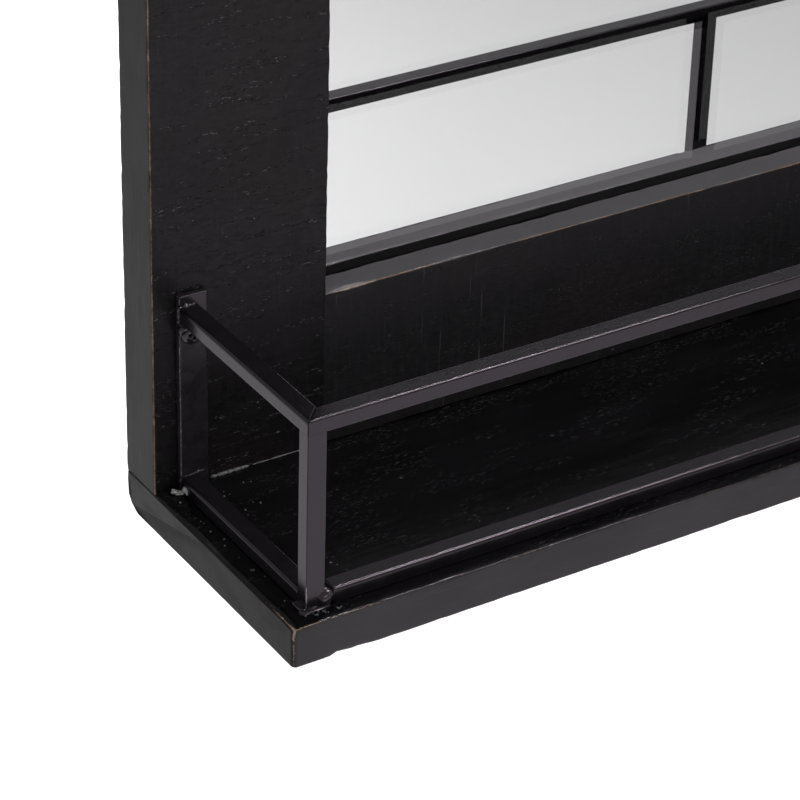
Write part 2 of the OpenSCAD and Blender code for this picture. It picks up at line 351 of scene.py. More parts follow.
def sawn_wood(name, nick, rows, grain, warmth, depth=0.45, streak=0.0, nick_glint_share=1.0, grey=0.0):
    """Rough-sawn boards under black stain. nick, rows and grain are the sizes of a saw nick, of the rows
    that the nicks lie in, and of a grain line. depth is how deep the nicks are, streak how light the thin
    upright scratches are, nick_glint_share how far a painted glint lightens the nicks, and grey how much
    the stain has faded."""
    shader = Shader(name)
    patches = shader.band(shader.noise((26, 26, 26), 4.0, 0.6), 0.36, 0.66)
    warm = shader.math("MULTIPLY", shader.band(shader.noise((60, 30, 45), 2.0), 0.45, 0.7), warmth)
    lines = shader.noise(grain, 5.0, 0.65)
    tone = shader.mix(patches, DEEP_STAIN, BLACK_STAIN)
    tone = shader.mix(warm, tone, WARM_STAIN)
    tone = shader.mix(shader.band(lines, 0.48, 0.74, grey, grey + 0.5), tone, GREY_STAIN)
    if streak:
        scratches = shader.band(shader.noise((1.5, 1.5, 55), 2.0), 0.68, 0.74, 0.0, streak)
        tone = shader.mix(scratches, tone, NICK)
    cuts = shader.band(shader.noise(nick, 3.0, 0.6), 0.57, 0.63)
    cuts = shader.math("MULTIPLY", cuts, shader.band(shader.noise(rows, 3.0, 0.6), 0.51, 0.62))
    # Painted glint: the nicks are lightened in patches for the light their edges catch. The nicks themselves
    # are real cuts, set in by the bump.
    glint = shader.band(shader.noise((2.6, 2.6, 1.1), 2.0), 0.46, 0.56, 0.05, nick_glint_share)
    tone = shader.mix(shader.math("MULTIPLY", cuts, glint), tone, PAINTED_NICK_GLINT)
    ragged = shader.noise((3.5, 3.5, 1.4), 4.0, 0.7)
    shader.set(Base_Color=rubbed(shader, dusted(shader, tone)))
    shader.set(Roughness=shader.band(ragged, 0.3, 0.7, 0.36, 0.54))
    shader.set(Specular_IOR_Level=0.36, Specular_Tint=WOOD_SHEEN)
    relief = shader.bump(lines, 0.05)
    relief = shader.bump(ragged, 0.07, relief)
    shader.set(Normal=shader.bump(cuts, depth, relief))
    return shader.material


def smooth_wood(name, grain, sheen, pale=0.0):
    """Planed and sanded faces: an even, greyer stain with faint grain, lightened where pale says so. On the
    lip's top that lightening is partly thinner, worn stain and partly painted light.
    """
    shader = Shader(name)
    patches = shader.band(shader.noise((40, 20, 26), 3.0), 0.3, 0.7)
    tone = shader.mix(patches, BLACK_STAIN, GREY_STAIN)
    lines = shader.noise(grain, 4.0, 0.6)
    # pale lays NICK grey over the grain. On the lip's top this is partly worn stain and partly painted light
    # on an up-facing face.
    tone = shader.mix(shader.band(lines, 0.5, 0.8, pale, pale + 0.25), tone, NICK)
    shader.set(Base_Color=rubbed(shader, tone), Roughness=shader.band(lines, 0.3, 0.7, 0.38, 0.48))
    shader.set(Specular_IOR_Level=sheen, Specular_Tint=WOOD_SHEEN)
    relief = shader.bump(shader.noise((9, 9, 9), 3.0), 0.05)
    shader.set(Normal=shader.bump(lines, 0.025, relief))
    return shader.material


def shelf_wood(name):
    """The shelf's top: worn smooth, nearly black and glossy, with short light scratches along the board."""
    shader = Shader(name)
    patches = shader.band(shader.noise((60, 20, 20), 3.0), 0.35, 0.7)
    tone = shader.mix(patches, DEEP_STAIN, BLACK_STAIN)
    dents = shader.band(shader.noise((2.2, 0.55, 2), 3.0, 0.65), 0.575, 0.64)
    rows = shader.band(shader.noise((30, 9, 20), 3.0, 0.6), 0.51, 0.60)
    marks = shader.math("MULTIPLY", dents, rows)
    tone = shader.mix(shader.math("MULTIPLY", marks, 0.36), tone, NICK)
    grain = shader.noise((30, 1.6, 2), 4.0, 0.6)
    shader.set(Base_Color=rubbed(shader, dusted(shader, tone)))
    shader.set(Roughness=shader.band(grain, 0.3, 0.7, 0.17, 0.26))
    shader.set(Specular_IOR_Level=0.24, Specular_Tint=WOOD_SHEEN)
    relief = shader.bump(grain, 0.02)
    shader.set(Normal=shader.bump(marks, 0.25, relief))
    return shader.material


def end_wood(name):
    """Sawn ends: short pores and curved year rings under the stain."""
    shader = Shader(name)
    rings = {"Vector": shader.stretched((14, 14, 5)), "Scale": 1.0, "Distortion": 3.0, "Detail": 3.0}
    rings = shader.node("ShaderNodeTexWave", rings, wave_type="RINGS").outputs["Fac"]
    patches = shader.band(shader.noise((16, 16, 7), 3.0), 0.35, 0.7)
    tone = shader.mix(patches, BLACK_STAIN, GREY_STAIN)
    tone = shader.mix(shader.band(rings, 0.6, 0.9, 0.0, 0.04), tone, NICK)
    shader.set(Base_Color=rubbed(shader, tone), Roughness=shader.band(patches, 0.0, 1.0, 0.42, 0.50))
    shader.set(Specular_IOR_Level=0.22, Specular_Tint=WOOD_SHEEN)
    relief = shader.bump(shader.noise((6, 6, 6), 4.0), 0.12)
    shader.set(Normal=shader.bump(rings, 0.01, relief))
    return shader.material


def painted_steel(name, tone, lift, rough, gloss):
    """Satin black paint, mottled from tone to lift, and chipped to grey where an edge is rubbed. The same
    grey also lays painted highlights along some edges.
    """
    shader = Shader(name)
    mottled = shader.band(shader.noise((7, 7, 7), 4.0), 0.3, 0.7)
    base = shader.mix(mottled, tone, lift)
    specks = shader.band(shader.cells((9, 9, 9)), 0.012, 0.024, 0.4, 0.0)
    base = shader.mix(specks, base, STEEL_SPECK)
    flaking = shader.math("MULTIPLY", shader.noise((0.8, 0.8, 1.6), 4.0), 0.8)
    worn = shader.math("ADD", shader.attribute("rub_and_highlight"), flaking)
    # Worn-through paint and painted edge highlights, both in this grey.
    base = shader.mix(shader.band(worn, 0.95, 1.25), base, BARE_STEEL_AND_HIGHLIGHT)
    peel = shader.noise((1.1, 1.1, 1.1), 2.0)
    shader.set(Base_Color=base, Roughness=shader.band(mottled, 0.0, 1.0, rough, rough + 0.04))
    shader.set(Specular_IOR_Level=gloss, Specular_Tint=STEEL_SHEEN)
    shader.set(Normal=shader.bump(peel, 0.006))
    return shader.material


def filler(name, tone, lift, rough):
    """Dried filler and chips of paint: dull and grainy, from tone to lift."""
    shader = Shader(name)
    grains = shader.noise((0.7, 0.7, 0.7), 4.0, 0.7)
    shader.set(Base_Color=shader.mix(shader.band(grains, 0.35, 0.65), tone, lift), Roughness=rough)
    shader.set(Normal=shader.bump(grains, 0.06))
    return shader.material


def clear_glass(name):
    """Faintly green glass under a thin film of dust."""
    shader = Shader(name)
    film = shader.band(shader.noise((120, 120, 120), 2.0), 0.3, 0.7, 0.0, 0.012)
    shader.set(Base_Color=(0.975, 0.985, 0.98), Transmission_Weight=1.0, IOR=1.5, Roughness=film)
    return shader.material


def silvering(name):
    """The mirror's back coat, seen through its glass."""
    shader = Shader(name)
    cloud = shader.band(shader.noise((160, 160, 160), 2.0), 0.3, 0.7)
    shader.set(Base_Color=shader.mix(cloud, (0.90, 0.90, 0.90), (0.92, 0.92, 0.925)))
    shader.set(Metallic=1.0, Roughness=0.0)
    return shader.material


def fibreboard(name):
    """Raw hardboard: brown, felted, with darker flecks."""
    shader = Shader(name)
    felt = shader.noise((2.5, 2.5, 1.6), 5.0, 0.7)
    cloud = shader.band(shader.noise((140, 140, 90), 4.0, 0.6), 0.2, 0.8)
    tone = shader.mix(cloud, (0.215, 0.135, 0.076), (0.245, 0.157, 0.089))
    tone = shader.mix(shader.band(felt, 0.55, 0.75, 0.0, 0.6), tone, (0.10, 0.06, 0.035))
    shader.set(Base_Color=tone, Roughness=shader.band(felt, 0.3, 0.7, 0.62, 0.8))
    shader.set(Normal=shader.bump(felt, 0.08))
    return shader.material


def beech(name):
    """Bare, pale wood with straight grain."""
    shader = Shader(name)
    grain = shader.noise((18, 1.2, 1.2), 4.0)
    shader.set(Base_Color=shader.mix(grain, (0.62, 0.44, 0.26), (0.74, 0.56, 0.37)), Roughness=0.6)
    shader.set(Normal=shader.bump(grain, 0.05))
    return shader.material


def plated(name, tone, shade, rough):
    """Zinc plate: metal with cloudy patches from shade to tone, and fine drawn lines."""
    shader = Shader(name)
    clouds = shader.noise((4, 4, 4), 4.0, 0.6)
    drawn = shader.noise((0.5, 0.5, 9), 3.0)
    shader.set(Base_Color=shader.mix(shader.band(clouds, 0.35, 0.65), shade, tone), Metallic=1.0)
    shader.set(Roughness=shader.band(clouds, 0.3, 0.7, rough, rough + 0.16))
    shader.set(Normal=shader.bump(drawn, 0.01))
    return shader.material


def rubber(name):
    """Black rubber, dusty in patches."""
    shader = Shader(name)
    dust = shader.band(shader.noise((3, 3, 3), 4.0), 0.45, 0.75)
    shader.set(Base_Color=shader.mix(dust, (0.018, 0.018, 0.018), (0.05, 0.048, 0.045)))
    shader.set(Roughness=shader.band(dust, 0.0, 1.0, 0.6, 0.85))
    shader.set(Normal=shader.bump(shader.noise((0.6, 0.6, 0.6), 2.0), 0.02))
    return shader.material


STILE_FRONT = sawn_wood("sawn_stile", nick=(1.9, 1.9, 0.36), rows=(26, 26, 3.4), grain=(0.9, 0.9, 24),
                        warmth=0.35)
RAIL_FRONT = sawn_wood("sawn_rail", nick=(1.8, 1.8, 0.5), rows=(26, 26, 6), grain=(1.6, 1.6, 16),
                       warmth=0.9, depth=0.25, streak=0.6, nick_glint_share=0.3, grey=0.5)
HEAD_FRONT = sawn_wood("sawn_top_rail", nick=(1.8, 1.8, 0.5), rows=(26, 26, 6), grain=(24, 0.9, 0.9),
                       warmth=0.5)
STILE_SIDE = smooth_wood("planed_stile", grain=(0.8, 0.8, 20), sheen=0.22)
RAIL_SIDE = smooth_wood("planed_rail", grain=(20, 0.8, 0.8), sheen=0.47)
# The lip's up-facing top, paler than its other faces: partly thinner, worn stain and partly painted light.
LIP_TOP_WORN_AND_PAINTED_LIGHT = smooth_wood("lip_top_worn_and_painted_light", grain=(20, 0.8, 0.8), sheen=0.8, pale=0.85)
SHELF_TOP = shelf_wood("shelf_top")
END_GRAIN = end_wood("sawn_end")
BLACK_STEEL = painted_steel("painted_steel", tone=(0.0070, 0.0058, 0.0074), lift=(0.0105, 0.0088, 0.0110),
                            rough=0.17, gloss=0.54)
PLATE_STEEL = painted_steel("plate_steel", tone=(0.0130, 0.0112, 0.0135), lift=(0.022, 0.0195, 0.0225),
                            rough=0.26, gloss=0.56)
WELD_STEEL = painted_steel("painted_weld", tone=(0.0080, 0.0070, 0.0080), lift=(0.016, 0.0145, 0.016),
                           rough=0.18, gloss=0.75)
BLACK_SCREW = painted_steel("black_screw", tone=(0.0080, 0.0080, 0.0085), lift=(0.02, 0.02, 0.022),
                            rough=0.18, gloss=0.75)
CHIPS = filler("paint_chips", tone=(0.34, 0.34, 0.34), lift=(0.70, 0.70, 0.69), rough=0.7)
SEAM = filler("dried_filler", tone=(0.05, 0.05, 0.052), lift=(0.22, 0.22, 0.225), rough=0.42)
GLASS = clear_glass("mirror_clear_glass")
SILVER = silvering("mirror_silvering")
FIBREBOARD = fibreboard("fibreboard")
BEECH = beech("beech")
ZINC = plated("zinc_plate", tone=(0.60, 0.60, 0.58), shade=(0.42, 0.42, 0.41), rough=0.26)
YELLOW_ZINC = plated("yellow_zinc_plate", tone=(0.72, 0.56, 0.25), shade=(0.55, 0.46, 0.30), rough=0.24)
RUBBER = rubber("bumper_rubber")

# ---------------------------------------------------------------- wood

LOOKS = {
    "stile": [STILE_FRONT, STILE_SIDE, END_GRAIN],
    "bottom": [RAIL_FRONT, RAIL_SIDE, END_GRAIN, LIP_TOP_WORN_AND_PAINTED_LIGHT],
    "top": [HEAD_FRONT, RAIL_SIDE, END_GRAIN],
    "shelf": [SHELF_TOP, RAIL_SIDE, END_GRAIN],
}
FACING = 0.75           # a face whose normal has this share in a direction faces that way
WOOD_FINE = 0.45 * MM   # stretches near a board's edges
WOOD_COARSE = 2.6 * MM  # and between them
RUB_REACH = 1.1 * MM    # how far wear reaches from the middle of an edge
SWAY = 0.16 * MM        # how far a board's faces wander
RIPPLE = 0.05 * MM      # how uneven they are close up
JOINT_LAP = 0.8 * MM    # how far a board runs into the one that it meets
STEP = 0.02 * MM        # half the width of a sudden change of section
LIP_WEAR = 9 * MM       # from the opening's left side to the middle of the lip's worn patch


def dent(centre, size, push):
    """A dent at a place: how far it reaches and how deep it goes each way, in millimetres."""
    return Vector(centre), tuple(reach * MM for reach in size), Vector(push) * MM


def dented(spot, dents):
    """Where a vertex goes when the dents are pressed into the board."""
    moved = spot.copy()
    for centre, size, push in dents:
        reach = Vector([(spot[i] - centre[i]) / size[i] for i in range(3)]).length
        if reach < 1:
            moved += push * (1 - reach * reach) ** 2
    return moved


def wear_wood(verts, normals, source, rub_of, chip, dents):
    """Moves the vertices where the board is uneven, chipped or dented. Returns them, and how far each is
    rubbed and how pale it is."""
    worn, rubs, pales = [], [], []
    for spot, normal, (near, corner, drawn, brink) in zip(verts, normals, source):
        edge = max(0.0, (1.0 - near / RUB_REACH) * (1 - drawn), brink)
        sway = SWAY * (1 + drift(spot, 60 * MM, 1))
        ripple = RIPPLE * (1 + drift(spot, 9 * MM, 2))
        bite = chip * edge * max(0.0, drift(spot, 5 * MM, 3) + 0.1) ** 1.5 * MM
        worn.append(dented(spot - normal * (sway + ripple + bite), dents))
        amount, pale = rub_of(corner if brink < 0.3 else None, spot)
        rubs.append(edge * amount * (0.75 + 0.25 * drift(spot, 16 * MM, 4)))
        pales.append(pale)
    return worn, rubs, pales


def board(name, corners, span, rounding, place, look, rub_of, node, chip=0.5, dents=(), end_round=None,
          stops=(), shape=None):
    """A board swept along its length, with its edges rounded and worn. look names its materials. shape moves
    each vertex before the wear, and stops are the places where what it does changes."""
    outline = section(corners, WOOD_FINE, WOOD_COARSE)
    rows = stations(*span, *rounding, WOOD_FINE * 2, WOOD_COARSE)
    rows += [(stop + step, 0.0, 0.0) for stop in stops for step in (-STEP, STEP)]
    rows.sort()
    reach = end_round or (max(rounding), max(rounding))
    verts, normals, faces, source = sweep(outline, rows, place, reach)
    if shape:
        verts = [shape(spot) for spot in verts]
    worn, rubs, pales = wear_wood(verts, normals, source, rub_of, chip, dents)
    made = piece(name, worn, faces, LOOKS[look], stands_for=[node])
    fill_attribute(made, "rub_and_highlight", rubs)
    fill_attribute(made, "pale", pales)
    for face in made.data.polygons:
        face.material_index = face_look(look, face.normal)
    for cap in made.data.polygons[-2:]:
        cap.use_smooth = False


def face_look(look, normal):
    """Which of a board's materials a face takes: 0 for its show face, 2 for its ends, 1 for the rest. The
    bottom rail has 3 on top."""
    if look == "bottom" and normal.z > FACING:
        return 3
    if look == "shelf":
        shown, end = normal.z, abs(normal.x)
    else:
        shown, end = -normal.y, abs(normal.z) if look == "stile" else abs(normal.x)
    if shown > FACING:
        return 0
    return 2 if end > FACING else 1


def fade(distance, reach):
    """1 at distance 0, down to 0 at reach."""
    return max(0.0, 1.0 - abs(distance) / reach)


# The functions below say how far a board is rubbed at a spot, and how pale the wood is there. corner is the
# number of the nearest corner of its section, or None at its end.


def stile_rub(corner, spot):
    """The outer front edge is rubbed to brown wood in places, and the others only here and there."""
    inner = 0.45 if spot.z > foot_hi.z else 0.0
    return {0: 1.02, 1: inner, 2: 0.3, 4: 0.3, 5: 0.35}.get(corner, 0.2), 0.28


def stile_rub_mirrored(corner, spot):
    """The right stile's six corners come in the opposite order."""
    return stile_rub(None if corner is None else 5 - corner, spot)


def rail_rub(corner, spot):
    """The lip's front edge is rubbed pale near its left end, and thinly further on."""
    patch = fade(spot.x + opening - LIP_WEAR, 13 * MM)
    return {2: 0.2, 4: 0.35, 5: 0.84 + 0.5 * patch}.get(corner, 0.0), 0.1 + 0.5 * patch


def head_rub(corner, _):
    return {0: 0.75, 1: 0.3, 3: 0.2, 4: 0.35, 5: 0.85}.get(corner, 0.0), 0.3


def shelf_rub(corner, spot):
    """The front edge is rubbed most near the shelf's ends, and an end's edges towards the front corner."""
    near_end = fade(half_width - abs(spot.x), 40 * MM)
    at_front = fade(spot.y - shelf_lo.y, 26 * MM)
    if corner is None:
        upper = fade(shelf_hi.z - spot.z, 9 * MM)
        return 0.3 + 0.9 * at_front * max(upper, 0.35), 0.15 + 0.4 * at_front
    return {0: 0.25, 1: 0.2, 3: 0.6 + 0.35 * near_end}.get(corner, 0.0), 0.2 + 0.3 * near_end


def make_stiles():
    x0, x1, x2 = -half_width, -opening, -opening - rabbet
    y0, y1, y2 = wood_front, glass_lo.y, wood_back
    front = [(x0, y0, 0.7 * MM), (x1, y0, 0.35 * MM)]
    back = [(x1, y1, 0.4 * MM), (x2, y1, 0), (x2, y2, 0.6 * MM), (x0, y2, 1.1 * MM)]
    left = front + back
    right = [(-x, y, r) for x, y, r in reversed(left)]
    span = (shelf_top - JOINT_LAP, stile_hi.z)
    stops = (foot_hi.z - rabbet, head_lo.z + rabbet)
    lip_edge, back_edge = 0.5 * MM, 0.7 * MM
    squeeze = 0.002

    def close_rabbet(spot):
        """Past the glass's ends the rabbet stops, and the stile is whole."""
        inset = abs(spot.x) - opening
        if stops[0] < spot.z < stops[1] or spot.y < y1 - lip_edge or inset > rabbet + back_edge:
            return spot
        inset = inset * squeeze if spot.y < y1 + STEP else inset - rabbet
        return Vector((math.copysign(opening + inset, spot.x), spot.y, spot.z))

    for side, corners, rub_of in (("left", left, stile_rub), ("right", right, stile_rub_mirrored)):
        node = side + "_stile"
        board(node + "_wood", corners, span, (0, 1.0 * MM), along_z, "stile", rub_of, node, chip=0.8,
              stops=stops, shape=close_rabbet)


def make_rails():
    y0, y1, y2 = wood_front, glass_lo.y, wood_back
    low, lip, seat = foot_lo.z, foot_hi.z, foot_hi.z - rabbet
    front = [(y0, low, 0.4 * MM), (y2, low, 0.4 * MM)]
    back = [(y2, seat, 0.6 * MM), (y1, seat, 0), (y1, lip, 0.5 * MM), (y0, lip, 0.6 * MM)]
    span = (-opening - JOINT_LAP, opening + JOINT_LAP)
    worn_patch = dent((LIP_WEAR - opening, y0, lip), (12, 2.5, 2.5), (0, 0.45, -0.45))
    board("bottom_rail_wood", front + back, span, (0, 0), along_x, "bottom", rail_rub, "bottom_rail",
          chip=0.8, dents=[worn_patch])
    low, seat, high = head_lo.z, head_lo.z + rabbet, head_hi.z
    front = [(y0, low, 0.6 * MM), (y1, low, 0.5 * MM), (y1, seat, 0)]
    back = [(y2, seat, 0.6 * MM), (y2, high, 1.0 * MM), (y0, high, 0.9 * MM)]
    board("top_rail_wood", front + back, span, (0, 0), along_x, "top", head_rub, "top_rail")


def make_shelf():
    """The dents are two in the lower front edge, one at the lower back corner, and three along the left
    end's upper edge."""
    x0, y0, y1, z0, z1 = shelf_lo.x, shelf_lo.y, shelf_hi.y, shelf_lo.z, shelf_hi.z
    corners = [(y0, z0, 1.1 * MM), (y1, z0, 1.4 * MM), (y1, z1, 1.0 * MM), (y0, z1, 0.6 * MM)]
    dents = [
        dent((x0 + 17 * MM, y0, z0), (4, 3, 2.5), (0, 0.5, 0.7)),
        dent((x0 + 24 * MM, y0, z0), (8, 3, 2.5), (0, 0.3, 0.4)),
        dent((x0, y1, z0), (7, 9, 7), (0.9, -0.6, 1.0)),
        dent((x0, y0 + 7 * MM, z1), (3.5, 15, 3.5), (0.6, 0, -0.6)),
        dent((x0, y0 + 30 * MM, z1), (2.5, 34, 2.5), (0.5, 0, -0.5)),
        dent((x0, y0 + 62 * MM, z1), (3, 22, 3), (0.7, 0, -0.8)),
    ]
    board("shelf_board_wood", corners, (x0, shelf_hi.x), (1.8 * MM, 1.8 * MM), along_x, "shelf", shelf_rub,
          "shelf_board", dents=dents, end_round=(1.7 * MM, 0.9 * MM))


# ---------------------------------------------------------------- mirror


def make_mirror():
    """One plate: clear in front and at its ground edges, silvered behind. It stands clear of the lip and of
    its backing board."""
    clearance = 0.1 * MM
    ground = 0.5 * MM
    fine, coarse = 2 * MM, 60 * MM
    x, z0, z1 = glass_hi.x, glass_lo.z, glass_hi.z
    y0, y1 = glass_lo.y + clearance, glass_hi.y - clearance
    corners = [(-x, y0, ground), (x, y0, ground), (x, y1, ground), (-x, y1, ground)]
    rows = stations(z0, z1, ground, ground, fine, coarse)
    verts, _, faces, _ = sweep(section(corners, fine, coarse), rows, along_z, (ground, ground))
    made = piece("mirror_plate", verts, faces, [GLASS, SILVER], stands_for=["mirror_glass"],
                 smooth=False)
    silvered = 0.9
    for face in made.data.polygons:
        face.material_index = 1 if face.normal.y > silvered else 0


# ---------------------------------------------------------------- gallery

BAR_EDGE = 0.4 * MM
SIDE_EDGE = 1.3 * MM     # the side bars' outer top edge
STEEL_FINE = 0.3 * MM    # stretches near a bar's edges
STEEL_COARSE = 4.0 * MM  # and between them
STEEL_RUB = 0.8 * MM     # how far wear reaches from the middle of an edge
STEEL_SWAY = 0.05 * MM


def steel_bar(name, corners, span, place, node, shape=None, rub_and_highlight=None, paint=BLACK_STEEL,
              coarse=STEEL_COARSE):
    """A flat steel bar with rounded edges, faintly uneven under its paint. shape moves each vertex last, and
    rub_and_highlight(spot) says how far the paint is worn there, and where an edge gets a painted highlight."""
    outline = section(corners, STEEL_FINE, coarse)
    rows = stations(*span, BAR_EDGE, BAR_EDGE, 2 * STEEL_FINE, coarse)
    verts, normals, faces, source = sweep(outline, rows, place, (BAR_EDGE, BAR_EDGE))
    worn = []
    for spot, normal in zip(verts, normals):
        moved = spot - normal * STEEL_SWAY * (1 + drift(spot, 14 * MM, 11))
        worn.append(shape(moved) if shape else moved)
    made = piece(name, worn, faces, [paint], stands_for=[node])
    edges = [max((1.0 - near / STEEL_RUB) * (1 - drawn), brink, 0.0) for near, _, drawn, brink in source]
    share = [rub_and_highlight(spot) if rub_and_highlight else 0.3 for spot in verts]
    fill_attribute(made, "rub_and_highlight", [a * b for a, b in zip(edges, share)])
    return made


def box_corners(a0, b0, a1, b1, radii=(BAR_EDGE,) * 4):
    return [(a0, b0, radii[0]), (a1, b0, radii[1]), (a1, b1, radii[2]), (a0, b1, radii[3])]


def mirrored(spot):
    return Vector((-spot.x, spot.y, spot.z))


def make_gallery():
    make_front_rail()
    make_side_rails()
    make_posts()
    make_wall_plates()
    make_bottom_rails()
    make_welds()
    make_plate_screws()
    make_crumbs()


def make_front_rail():
    reach = rail_hi.x

    def mitre(spot):
        return Vector((spot.x * (reach - (spot.y - rail_lo.y)) / reach, spot.y, spot.z))

    radii = (BAR_EDGE, BAR_EDGE, 0.6 * MM, 0.75 * MM)
    corners = box_corners(rail_lo.y, rail_lo.z, rail_hi.y, rail_hi.z, radii)
    steel_bar("gallery_front_rail", corners, (-reach, reach), along_x, "gallery_front_top_rail", mitre)


def side_bar(name, node, right, shape):
    """A bar along a side of the gallery, its outer top edge rounded more than the others. shape is for the
    left side, and right says that the bar is mirrored."""
    lo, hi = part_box(node.replace("right", "left"))
    corners = box_corners(lo.z, lo.x, hi.z, hi.x, (BAR_EDGE, SIDE_EDGE, BAR_EDGE, BAR_EDGE))

    def place_right(spot):
        return mirrored(shape(spot))

    def worn(spot):
        """The inner top edge is painted bright over its last stretch before the front corner: a painted
        highlight in the grey of bare steel.
        """
        inner = fade(spot.x - hi.x, 1.5 * MM) * fade(spot.z - hi.z, 1.5 * MM)
        return 0.25 + 0.75 * inner * min(1.0, 2 * fade(spot.y - lo.y, 45 * MM))

    made = steel_bar(name, corners, (lo.y, hi.y), along_y, node, place_right if right else shape, worn)
    if right:
        made.data.flip_normals()


def make_side_rails():
    """The top rails along the sides, mitred at the front."""
    back, front, outer = side_hi.y, side_lo.y, side_lo.x

    def mitre(spot):
        share = (back - spot.y) / (back - front)
        return Vector((spot.x, spot.y + share * (spot.x - outer), spot.z))

    side_bar("gallery_left_rail", "gallery_left_top_rail", False, mitre)
    side_bar("gallery_right_rail", "gallery_right_top_rail", True, mitre)


def make_posts():
    into_rail = 0.6 * MM

    def knocked(spot):
        """The left post's outer edge is knocked bare just above the shelf."""
        outer = fade(spot.x - post_lo.x, 2 * MM) * fade(spot.y - post_lo.y, 2 * MM)
        return 0.3 + outer * 0.9 * fade(spot.z - shelf_top - 6 * MM, 7 * MM)

    for node in ("gallery_left_front_post", "gallery_middle_front_post", "gallery_right_front_post"):
        lo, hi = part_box(node)
        corners = box_corners(lo.x, lo.y, hi.x, hi.y)
        span = (lo.z, hi.z + into_rail)
        steel_bar(node + "_bar", corners, span, along_z, node, rub_and_highlight=knocked, coarse=1.5 * MM)


def make_wall_plates():
    """Flat plates with uneven, hammered edges."""
    hammered = 0.22 * MM
    for side in ("left", "right"):
        node = f"gallery_{side}_wall_plate"
        lo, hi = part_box(node)
        outer = lo.x if side == "left" else hi.x
        inward = 1 if side == "left" else -1

        def uneven(spot, outer=outer, inward=inward):
            dip = hammered * (1 + drift(Vector((0, 0, spot.z)), 22 * MM, 12))
            return spot + Vector((inward * dip * fade(spot.x - outer, 4 * MM), 0, 0))

        # A painted highlight: the paint is greyed in patches along the plate's outer edge, for the light
        # that edge catches.
        def worn(spot, outer=outer):
            return 0.3 + 0.4 * fade(spot.x - outer, 2 * MM)

        corners = box_corners(lo.x, lo.y, hi.x, hi.y, (0.7 * MM, 0.7 * MM, BAR_EDGE, BAR_EDGE))
        steel_bar(node + "_bar", corners, (lo.z, hi.z), along_z, node, uneven, rub_and_highlight=worn, paint=PLATE_STEEL)


def make_bottom_rails():
    """The front ones stop just short of the welds at the posts' feet."""
    gap = 3.1 * MM
    for side in ("left", "right"):
        node = f"gallery_front_{side}_bottom_rail"
        lo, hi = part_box(node)
        span = (lo.x + gap, hi.x - gap)
        corners = box_corners(lo.y, lo.z, hi.y, hi.z, (BAR_EDGE, BAR_EDGE, BAR_EDGE, 1.1 * MM))
        steel_bar(node + "_bar", corners, span, along_x, node)
        node = f"gallery_{side}_bottom_rail"
        side_bar(node + "_bar", node, side == "right", lambda spot: spot)


# ---------------------------------------------------------------- welds, screws and crumbs


def blob(centre, size, seed, lump=0.3, blunt=0.8, rings=12, around=20):
    """An uneven ellipsoid, as vertices and faces. size is its half lengths in millimetres. The lower blunt
    is, the squarer it gets."""
    def skin(x, y, z):
        way = Vector((x, y, z))
        swell = 1 + lump * drift(way, 0.9, seed)
        reach = [math.copysign(abs(w) ** blunt, w) * half * swell * MM for w, half in zip(way, size)]
        return centre + Vector(reach)

    verts = [skin(0, 0, 1)]
    for k in range(1, rings):
        polar = math.pi * k / rings
        out = math.sin(polar)
        for turn in turns(around):
            verts.append(skin(out * math.cos(turn), out * math.sin(turn), math.cos(polar)))
    verts.append(skin(0, 0, -1))
    faces = dome_faces(rings - 1, around)
    last = 1 + (rings - 2) * around
    faces += [(last + i, len(verts) - 1, last + (i + 1) % around) for i in range(around)]
    return verts, faces


def bead_run(corners, radius, seed, pitch=0.5, around=10):
    """A lumpy bead of weld or filler laid along straight stretches, radius in millimetres."""
    path = [Vector(corners[0])]
    for start, stop in zip(corners, corners[1:]):
        count = max(2, round((Vector(stop) - Vector(start)).length / (pitch * MM)))
        path += [Vector(start).lerp(Vector(stop), k / count) for k in range(1, count + 1)]
    verts = []
    for k, spot in enumerate(path):
        ahead = path[min(k + 2, len(path) - 1)] - path[max(k - 2, 0)]
        side = ahead.cross(Vector((0.3, 0.2, 1.0))).normalized()
        up = side.cross(ahead).normalized()
        taper = min(1.0, (min(k, len(path) - 1 - k) + 0.3) / 3)
        size = radius * MM * taper * (0.85 + 0.6 * drift(spot, 1.6 * MM, seed))
        for turn in turns(around):
            verts.append(spot + (side * math.cos(turn) + up * math.sin(turn)) * size)
    return verts, tube_faces(len(path), around)


def joined(parts):
    verts, faces = [], []
    for part_verts, part_faces in parts:
        base = len(verts)
        verts += part_verts
        faces += [tuple(base + i for i in face) for face in part_faces]
    return verts, faces


def both_sides(parts):
    """The parts, which are on the left, and their mirror images on the right."""
    right = [([mirrored(v) for v in verts], [tuple(reversed(f)) for f in faces]) for verts, faces in parts]
    return parts + right


def lumps(name, parts, material, stands_for=()):
    """Blobs and bead runs as one piece, rubbed here and there."""
    verts, faces = joined(parts)
    made = piece(name, verts, faces, [material], stands_for=stands_for)
    fill_attribute(made, "rub_and_highlight", [0.35 + 0.45 * drift(v, 2.5 * MM, 31) for v in verts])


def at(x, y, z):
    """A place from millimetres off the left front post's outer foot: right, back and up."""
    return Vector((post_lo.x, post_lo.y, post_lo.z)) + Vector((x, y, z)) * MM


